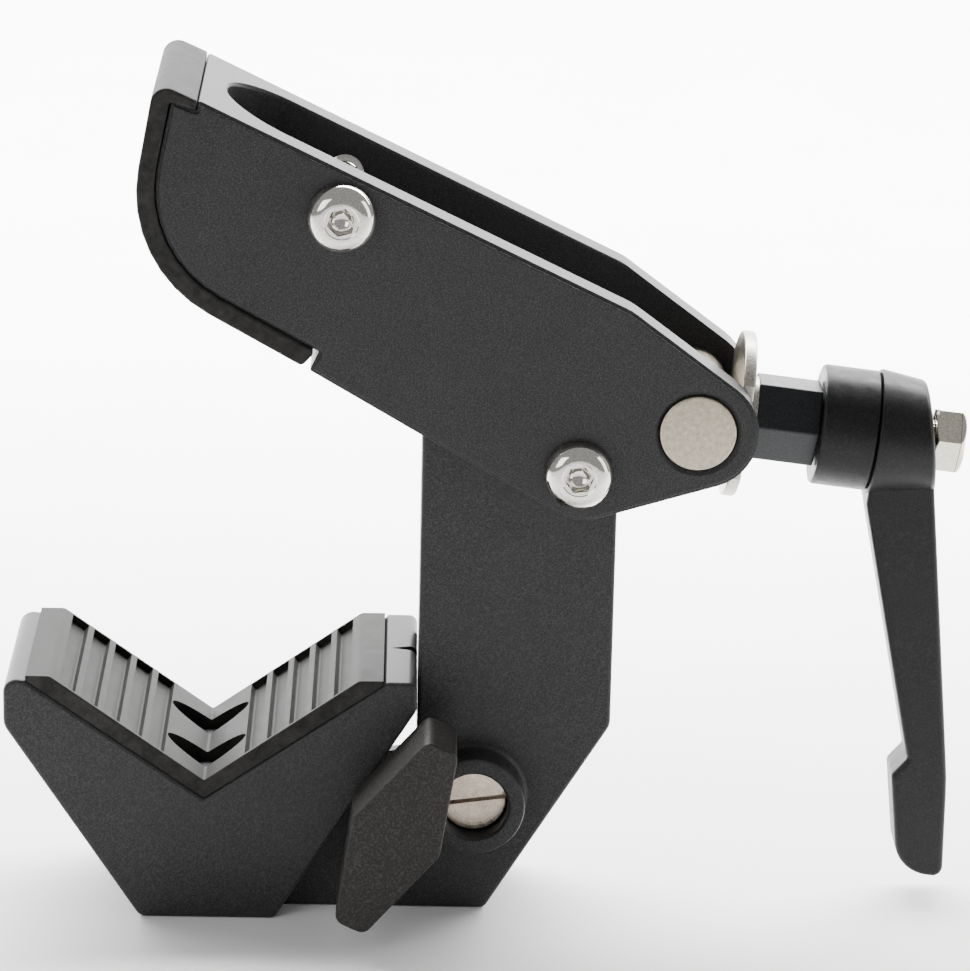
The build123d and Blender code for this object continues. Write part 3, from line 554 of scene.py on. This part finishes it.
def makeVeePad(size):
    x, z = size["vertex"]
    reach, top, half = size["halfLength"], size["top"], size["half"]
    outline = [(x - reach, top - 0.8, 0), (x - reach, top, 0), (x - reach + size["flat"], top, 1.5),
               (x, z, 0.5), (x + reach - size["flat"], top, 1.5), (x + reach, top, 0),
               (x + reach, top - 0.8, 0),
               (x, size["floor"] + 0.05, 0.3)]
    pad = extruded("veePad", outline, -half, half, rim=size["rim"])
    slope = math.atan2(top - z, reach - size["flat"])
    long = half - size["sideRim"]
    wide, deep = size["width"] / 2, size["depth"]
    for side in (-1, 1):
        along = Vector((side * math.cos(slope), 0, math.sin(slope)))
        up = Vector((-side * math.sin(slope), 0, math.cos(slope)))
        for number in range(size["grooves"]):
            centre = Vector((x, 0, z)) + along * (size["firstGroove"] + size["pitch"] * number)
            place = frameAt(centre, (0, -1, 0), along)
            way = 1 if place.to_3x3().col[1].dot(up) > 0 else -1
            cut = [(-wide - 0.9, way * 3, 0), (-wide - 0.15, 0, 0.3), (-wide, -way * deep, 0.35),
                   (wide, -way * deep, 0.35), (wide + 0.15, 0, 0.3), (wide + 0.9, way * 3, 0)]
            combine(pad, extruded("groove", cut, -long, long, place, rim=0.2))
    for side in (-1, 1):
        a, b = size["pocket"][0] / 2, size["pocket"][1] / 2
        oval = [(a * math.cos(math.tau * n / 40), b * math.sin(math.tau * n / 40), 0) for n in range(40)]
        place = frameAt((x, side * size["pocketAt"], size["floor"] - 1), (0, 0, 1), (1, 0, 0))
        combine(pad, extruded("pocket", oval, 0, 20, place))
    return shade(cleanUp(pad), 40)


present(makeVeePad(veePad), rubberFinish, "base", "pad_rubber", "lower_jaw_pad")
print("rubber moulded")


def domeProfile(size):
    # a flat rim, then an arc up to the ring round the socket
    ring = size["hex"] / 2 + size["socketWall"]
    points = [(size["head"] - 0.15, 0), (size["head"], 0.15), (size["head"], size["rimHeight"])]
    for n in range(1, 13):
        angle = math.radians(7.5 * n)
        points.append((ring + (size["head"] - ring) * math.cos(angle),
                       size["rimHeight"] + (size["height"] - size["rimHeight"]) * math.sin(angle)))
    return points + [(ring - 0.15, size["height"] - 0.1), (0, size["height"] - 0.12)]


def threadTurns(radius, start, end, depth):
    # rounded thread ridges as rings a pitch apart
    points = []
    count = round((end - start) / threadPitch)
    step = (end - start) / count
    for n in range(count):
        z = start + step * n
        points += [(radius - depth, z), (radius - depth, z + step * 0.15), (radius, z + step * 0.45),
                   (radius, z + step * 0.6), (radius - depth, z + step * 0.9)]
    return points + [(radius - depth, end)]


def hexagon(flats, turn):
    wide = flats / math.sqrt(3)
    return [(wide * math.cos(math.radians(turn + 60 * n)), wide * math.sin(math.radians(turn + 60 * n)), 0)
            for n in range(6)]


def makeButtonScrew(name, size, x, z, side, turn):
    seat = frameAt((x, side * arm["half"], z), (0, side, 0), (1, 0, 0))
    thread, long, bottom = size["thread"], size["length"], size["height"] - size["hexDepth"]
    profile = [(0, -long), (thread - 0.7, -long)] + threadTurns(thread, -long + 0.4, -1.0, 0.5)
    piece = turned(name, profile + [(thread, -0.9), (thread, 0)] + domeProfile(size), seat, 64)
    combine(piece, extruded("key", hexagon(size["hex"], turn), bottom, size["height"] + 1, seat))
    # the cone that the drill leaves at the bottom of the socket
    drill = size["hex"] / 2 * 0.94
    point = [(0, bottom - size["point"]), (drill, bottom), (drill, bottom + 0.3), (0, bottom + 0.3)]
    return shade(combine(piece, turned("drillPoint", point, seat, 36)), 30)


screwX, screwZ = arm["screwAt"]
for name, x, z, side, turn in (("arm_screw_front", screwX, screwZ, -1, 15),
                               ("arm_screw_rear", screwX, screwZ, 1, 40),
                               ("hinge_screw_front", hinge.x, hinge.z, -1, 8),
                               ("hinge_screw_rear", hinge.x, hinge.z, 1, 52)):
    piece = makeButtonScrew(name.replace("_", "-"), screw, x, z, side, turn)
    present(piece, screwFinish, "jaw_arm", "stainless", name)
print("screws set")


# the thrust plate has two round ends; it stands between the ears and passes the nut's push to the pin
plate = {"start": 6.4, "thickness": 2.0, "radius": 13.1, "half": 10.7, "hole": 3.6, "edge": 0.35, "steps": 14}


def makeBarrelPin(size):
    r, half, edge = size["radius"], size["half"], size["edge"]
    ends = [(r - edge, half), (r - edge * 0.3, half - edge * 0.3), (r, half - edge)]
    profile = [(0, -half)] + [(x, -z) for x, z in ends] + ends[::-1] + [(0, half)]
    piece = turned("barrelPin", profile, acrossAt(barrel, 0), 96)
    return shade(drilled(piece, alongRod(0), size["cross"], -r, r), 30)


def makeThrustPlate(size):
    r, half, steps = size["radius"], size["half"], size["steps"]
    angles = [math.asin(half / r) * (2 * n / steps - 1) for n in range(steps + 1)]
    arc = [(r * math.sin(a), r * math.cos(a), 0) for a in angles]
    outline = arc + [(-x, -y, 0) for x, y, radius in arc]
    piece = extruded("thrustPlate", outline, 0, size["thickness"], alongRod(size["start"]))
    ease(piece, size["edge"], 40)
    return shade(drilled(piece, alongRod(size["start"]), size["hole"], 0, size["thickness"], 0.3))


present(makeBarrelPin(pin), pinFinish, "barrel", "nickel_plate", "barrel_pin")
present(makeThrustPlate(plate), plateFinish, "barrel", "nickel_plate", "thrust_plate")


# the rod swings on the anchor pin and is threaded to its end, where the nut is locked on
rod = {"radius": 3.0, "eye": 5.5, "eyeHalf": 4.0, "bore": 2.55, "threadStart": 4.0, "end": 42.0}
endNut = {"start": 38.4, "flats": 9.5, "length": 4.9, "cap": 1.1, "turn": -13, "edge": 0.9}


def makeTensionRod(size):
    reach, thick = (anchor - rodStart).length, size["radius"]
    profile = [(0, -reach + 1), (thick - 0.2, -reach + 1), (thick - 0.2, size["threadStart"])]
    profile += threadTurns(thick, size["threadStart"], size["end"] - 0.4, 0.55)
    piece = turned("tensionRod", profile + [(thick - 0.9, size["end"]), (0, size["end"])], alongRod(0), 48)
    eye, half = size["eye"], size["eyeHalf"]
    ring = turned("eye", [(0, -half), (eye - 0.4, -half), (eye, -half + 0.4), (eye, half - 0.4),
                          (eye - 0.4, half), (0, half)], acrossAt(anchor, 0), 48)
    combine(piece, ring, "UNION")
    return shade(drilled(piece, acrossAt(anchor, 0), size["bore"], -half, half), 30)


def makeEndNut(size):
    place = alongRod(size["start"])
    piece = extruded("endNut", hexagon(size["flats"], size["turn"]), 0, size["length"], place)
    corner, edge, length = size["flats"] / math.sqrt(3), size["edge"], size["length"]
    # a rounded cap closes the outer end
    dome = [(corner + 0.1 - 1.8 * edge * (1 - math.cos(a)), length - 1.6 * edge * (1 - math.sin(a)))
            for a in quarter]
    cone = [(0, 0), (corner - edge, 0), (corner + 0.1, edge * 0.62)] + dome + [(0, length)]
    combine(piece, turned("cone", cone, place, 96), "INTERSECT")
    drilled(piece, place, rod["radius"], 0, length - size["cap"], 0)
    return shade(ease(piece, 0.1, 45, 2), 30)


present(makeTensionRod(rod), screwFinish, "rod", "stainless", "tension_rod")
present(makeEndNut(endNut), nutFinish, "rod", "stainless", "rod_end_nut")
print("rod and nut made")


# the hex sleeve, the collar on it and the lever that lifts off to be turned to a new angle
sleeve = {"start": 9.85, "flats": 12.2, "turn": -1, "length": 10.1, "edge": 0.3, "core": 5.5,
          "coreLength": 11.95, "tailStep": 1.0, "tail": 27.0, "bore": 3.2}
collar = {"start": 19.95, "radius": 9.5, "length": 8.8, "core": 5.5}
lever = {"start": 28.9, "big": 9.9, "taper": 0.13, "hubEnd": 14.0, "round": 0.8, "core": 5.6, "mouth": 6.6,
         "web": 3.1, "mouthDepth": 6.8, "far": 40.0, "tipDown": 72.0, "lean": 12.0, "out": 9.3,
         "thick": 11.0, "tipThick": 8.8, "bladeRim": 1.0,
         "blade": [(0.35, -5.0, 0), (10.25, -5.0, 0.2), (20.9, -55.0, 60), (23.0, -71.9, 1.6),
                   (15.5, -71.9, 6.0), (11.85, -55.4, 1.1), (13.9, -52.4, 0.9), (0.35, -10.8, 2.0)]}


def makeHexSleeve(size):
    place, long, core, tail = alongRod(size["start"]), size["length"], size["core"], size["tail"]
    piece = extruded("hexSleeve", hexagon(size["flats"], size["turn"]), 0, long, place)
    ease(piece, size["edge"], 30)
    shoulder, thin = long + size["coreLength"], core - size["tailStep"]
    steps = [(0, long - 1), (core, long - 1), (core, shoulder), (thin, shoulder), (thin, tail), (0, tail)]
    combine(piece, turned("core", steps, place), "UNION")
    return shade(drilled(piece, place, size["bore"], 0, tail, 0.3), 30)


def makeCollar(size):
    r, long, core = size["radius"], size["length"], size["core"]
    profile = [(core, 0.3), (r - 0.6, 0.0), (r - 0.2, 0.12), (r, 0.5), (r, long - 0.25), (r - 0.25, long),
               (core, long)]
    return shade(turned("leverCollar", profile, alongRod(size["start"]), 120), 30)


def makeLever(size):
    place = alongRod(size["start"])
    big, long, half = size["big"], size["hubEnd"], size["thick"] / 2
    profile = [(0, 0), (big - 0.5, 0), (big - 0.15, 0.12), (big, 0.45), (big - size["taper"] * long, long),
               (0, long)]
    hub = turned("leverHandle", profile, place, 120)
    # the plane of the blade's outer edge also trims the end of the hub
    plane = frameAt(rodStart + rodAxis * size["start"], (0, -1, 0), rodAxis)
    far, out = size["far"], size["out"]
    lean = far * math.tan(math.radians(size["lean"]))
    trim = [(out - lean, far, 0), (far + 20, far, 0), (far + 20, -far, 0), (out + lean, -far, 0)]
    combine(hub, extruded("trim", trim, -20, 20, plane))
    ease(hub, size["round"], 50, 4)
    blade = extruded("blade", size["blade"], -half, half, plane, rim=size["bladeRim"])
    down = Vector((rodAxis.z, 0, -rodAxis.x))
    for vertex in blade.data.vertices:
        # the blade thins from the hub to the tip
        share = min(max((vertex.co / mm - rodStart).dot(down) / size["tipDown"], 0), 1)
        vertex.co.y *= 1 - share * (1 - size["tipThick"] / size["thick"])
    combine(hub, blade, "UNION")
    core, mouth, web, deep = size["core"], size["mouth"], size["web"], size["mouthDepth"]
    bore = [(0, -1), (core, -1), (core, web), (mouth, web), (mouth, deep), (mouth + 0.5, deep + 0.6),
            (mouth + 0.5, 30), (0, 30)]
    return shade(cleanUp(combine(hub, turned("leverBore", bore, place))), 38)


present(makeHexSleeve(sleeve), oxideFinish, "sleeve", "black_oxide", "hex_sleeve_nut")
present(makeCollar(collar), leverFinish, "sleeve", "lever_coat", "lever_collar")
present(makeLever(lever), leverFinish, "lever", "lever_coat", "lever_handle")
print("lever made")


# a nylon wing tightens the shoe; a plug closes the spring catch opposite its button
wing = {"front": 12.3, "gap": 2.0, "halfLength": 16.6, "tip": 2.6, "waist": 7.5, "tilt": 25.1, "crease": 0.8,
        "edge": 0.35, "neck": 5.9, "bore": 4.0, "boreDepth": 7.0}
plugShape = {"radius": 5.3, "edge": 0.45, "slotHalf": 0.36, "slotDepth": 1.1, "slotTurn": 8}
catch = {"pin": 4.5, "waist": 3.4, "round": 1.3, "floor": 3.1, "edge": 0.5}
catchPlace = frameAt((plug.x, 0, lockHeight), (0, 1, 0), (1, 0, 0))    # local Z points to the button
coils = {"catchRadius": 3.0, "catchWire": 0.35, "catchTurns": 5, "leverRadius": 5.4, "leverWire": 0.3,
         "leverFrom": 33.2, "leverTo": 35.5, "leverTurns": 2}


def makeWing(size):
    long, tip, waist, front = size["halfLength"], size["tip"], size["waist"], size["front"]
    outline = [(-tip, long, 1.6), (tip, long, 1.6), (waist, 0, 2.0), (tip, -long, 1.6), (-tip, -long, 1.6),
               (-waist, 0, 2.0)]
    seat = frameAt((0, -casting["jawHalf"] - size["gap"], lockHeight), (0, -1, 0), (1, 0, 0))
    turn = seat @ Matrix.Rotation(math.radians(-size["tilt"]), 4, "Z")
    piece = extruded("wingKnob", outline, 0, front + 1, turn)
    # the face is two slopes that meet along the wing
    roof = [(-waist - 1, -1, 0), (waist + 1, -1, 0), (waist + 1, front - size["crease"] - 0.1, 0),
            (0, front, 0), (-waist - 1, front - size["crease"] - 0.1, 0)]
    lengthways = turn @ Matrix.Rotation(math.radians(90), 4, "X")
    combine(piece, extruded("roof", roof, -long - 2, long + 2, lengthways), "INTERSECT")
    ease(piece, size["edge"], 40)
    neck = size["neck"]
    profile = [(0, -0.8), (neck - 0.4, -0.8), (neck, -0.4), (neck, 1), (0, 1)]
    combine(piece, turned("wingNeck", profile, seat), "UNION")
    deep, hole = size["boreDepth"], size["bore"]
    return shade(combine(piece, turned("wingBore", [(0, -2), (hole, -2), (hole, deep), (0, deep)], seat)), 32)


def makePlug(size):
    low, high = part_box("slotted_plug")
    seat, long, r, edge = acrossAt(plug, low.y / mm), (high.y - low.y) / mm, size["radius"], size["edge"]
    profile = [(0, -long), (r, -long), (r, -edge), (r - edge * 0.3, -edge * 0.3), (r - edge, 0), (0, 0)]
    piece = turned("slottedPlug", profile, seat, 96)
    turn = seat @ Matrix.Rotation(math.radians(size["slotTurn"]), 4, "Z")
    thin, far = size["slotHalf"], r + 4
    cut = [(-far, -thin, 0), (far, -thin, 0), (far, thin, 0), (-far, thin, 0)]
    return shade(combine(piece, extruded("screwdriverSlot", cut, -size["slotDepth"], 1, turn)), 30)


def makeCatchPin(size):
    low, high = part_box("catch_pin")
    tip, proud, step = low.y / mm, high.y / mm, casting["mastHalf"] - size["floor"]
    wide, edge, waist, bend = size["pin"], size["edge"], size["waist"], size["round"]
    profile = [(0, tip), (wide - edge, tip), (wide, tip + edge), (wide, step - 0.3), (wide - 0.3, step),
               (0, step)]
    body = turned("catchPin", profile, frameAt((low.x / mm + wide, 0, lockHeight), (0, 1, 0), (1, 0, 0)))
    button = [(0, step - 1), (waist, step - 1)]
    button += [(waist - bend + bend * math.cos(a), proud - bend + bend * math.sin(a)) for a in quarter]
    combine(body, turned("button", button + [(0, proud)], catchPlace), "UNION")
    return shade(body, 32)


def makeCoil(name, place, radius, wire, start, end, turns):
    curve = bpy.data.curves.new(name, "CURVE")
    curve.dimensions = "3D"
    curve.bevel_depth = wire * mm
    curve.bevel_resolution = 3
    curve.use_fill_caps = True
    spline = curve.splines.new("POLY")
    count = turns * 24
    spline.points.add(count)
    for n in range(count + 1):
        angle, height = math.tau * turns * n / count, start + wire + (end - start - 2 * wire) * n / count
        spot = place @ Vector((radius * math.cos(angle), radius * math.sin(angle), height))
        spline.points[n].co = (*(spot * mm), 1)
    piece = bpy.data.objects.new(name, curve)
    bpy.context.collection.objects.link(piece)
    mesh = bpy.data.meshes.new_from_object(piece.evaluated_get(bpy.context.evaluated_depsgraph_get()))
    bpy.data.objects.remove(piece)
    piece = bpy.data.objects.new(name, mesh)
    bpy.context.collection.objects.link(piece)
    return shade(piece, 60)


present(makeWing(wing), wingFinish, "wing", "wing_nylon", "wing_knob")
present(makePlug(plugShape), plugFinish, "base", "nickel_plate", "slotted_plug")
present(makeCatchPin(catch), workFinish, "catch", "nickel_plate", "catch_pin")
springLow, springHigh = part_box("catch_spring")
coil = makeCoil("catchSpring", catchPlace, coils["catchRadius"], coils["catchWire"], springLow.y / mm,
                springHigh.y / mm, coils["catchTurns"])
present(coil, springFinish, "base", "spring_steel", "catch_spring")
coil = makeCoil("leverSpring", alongRod(0), coils["leverRadius"], coils["leverWire"], coils["leverFrom"],
                coils["leverTo"], coils["leverTurns"])
present(coil, springFinish, "sleeve", "spring_steel", "lever_spring")
print("wing and catch made")


# small parts keep their own shape and only take a finish
# the pad screws take the black oxide finish, a real finish that is also there as painted shade, so that the
# bottoms of the pad's pockets read as dark as deep shaded holes
kept = {"lower_pad_screws": (oxideFinish, "black_oxide"), "anchor_pin": (workFinish, "stainless"),
        "hinge_barrel": (workFinish, "nickel_plate"), "thrust_washer": (plateFinish, "nickel_plate"),
        "lever_clip": (springFinish, "spring_steel"), "lever_washer": (springFinish, "spring_steel"),
        "clamp_shoe": (brassFinish, "brass_tip"), "wing_screw": (workFinish, "nickel_plate")}
for name, (material, slotName) in kept.items():
    node = frame["nodes"][name]
    node.data.materials.clear()
    node.data.materials.append(material)


# a plain pale floor, bright air behind and above, dimmer air in front, and soft panels
studio = {"floorSize": 6.0, "floorColour": "#f4f4f3", "floorLight": "#ffffff", "cloud": 40.0, "behind": 8.0,
          "around": 0.4, "edge": 0.45, "full": 0.9}
panels = {"wash": {"at": (0.0, 0.3, 0.5), "aim": (0.0, 0.75, 0.0), "size": (1.6, 0.3), "watts": 45},
          "farWash": {"at": (0.0, 0.9, 1.0), "aim": (0.0, 1.4, 0.0), "size": (2.0, 1.0), "watts": 115},
          "frontLeft": {"at": (-1.0, -1.1, 0.7), "aim": (0.0, 0.0, 0.06), "size": (0.8, 0.8), "watts": 7},
          "right": {"at": (1.3, -0.4, 0.5), "aim": (0.0, 0.0, 0.06), "size": (0.5, 1.0), "watts": 5}}
cameraSet = {"azimuth": -1.1, "elevation": 17.5, "roll": 1.3, "distance": 0.744,
             "aim": (0.0135, 0.0199, 0.0613), "lens": 169.5}


def makeFloor(size):
    half = size["floorSize"] / 2 / mm
    shape = bmesh.new()
    bmesh.ops.create_grid(shape, x_segments=4, y_segments=4, size=half)
    floor = newPiece("studioFloor", shape, Matrix.Translation((0, 0, cadLow.z / mm - 0.02)))
    # matt painted board: nearly white, with a broad faint cloud so that it does not look empty
    material, tree, place = startMaterial("paleBoard")
    cloud = addNode(tree, "TexNoise", Vector=place, Scale=grains(size["cloud"]), Detail=3.0)
    colour = addNode(tree, "Mix", {"data_type": "RGBA"}, 2, at0=cloud, at6=toLinear(size["floorColour"]),
                     at7=toLinear(size["floorLight"]))
    board = endMaterial(material, Base_Color=colour, Roughness=0.9, Specular_IOR_Level=0.1)
    floor.data.materials.append(board)


def makeAir(size):
    world = bpy.data.worlds.new("studio")
    bpy.context.scene.world = world
    world.use_nodes = True
    tree = world.node_tree
    tree.nodes.clear()
    depth = addNode(tree, "SeparateXYZ", None, "Y", Vector=addNode(tree, "TexCoord", None, "Generated"))
    strength = addNode(tree, "MapRange", {"interpolation_type": "SMOOTHSTEP"}, Value=depth,
                       From_Min=size["edge"], From_Max=size["full"], To_Min=size["around"],
                       To_Max=size["behind"])
    air = addNode(tree, "Background", Color=toLinear("#ffffff"), Strength=strength)
    addNode(tree, "OutputWorld", Surface=air)


def makeLights(settings):
    for name, panel in settings.items():
        data = bpy.data.lights.new(name, "AREA")
        data.shape = "RECTANGLE"
        data.size, data.size_y = panel["size"]
        data.energy = panel["watts"]
        lamp = bpy.data.objects.new(name, data)
        bpy.context.collection.objects.link(lamp)
        lamp.location = panel["at"]
        lamp.rotation_euler = (Vector(panel["aim"]) - lamp.location).to_track_quat("-Z", "Y").to_euler()
        lamp.visible_camera = False


def makeCamera(settings):
    azimuth = math.radians(settings["azimuth"])
    elevation = math.radians(settings["elevation"])
    back = Vector((math.sin(azimuth) * math.cos(elevation), -math.cos(azimuth) * math.cos(elevation),
                   math.sin(elevation)))
    data = bpy.data.cameras.new("camera")
    data.lens = settings["lens"]
    camera = bpy.data.objects.new("camera", data)
    bpy.context.collection.objects.link(camera)
    spot = Vector(settings["aim"]) + back * settings["distance"]
    turn = (-back).to_track_quat("-Z", "Y").to_matrix().to_4x4()
    roll = Matrix.Rotation(math.radians(settings["roll"]), 4, "Z")
    camera.matrix_world = Matrix.Translation(spot) @ turn @ roll
    bpy.context.scene.camera = camera


makeFloor(studio)
makeAir(studio)
makeLights(panels)
makeCamera(cameraSet)
print("studio set")
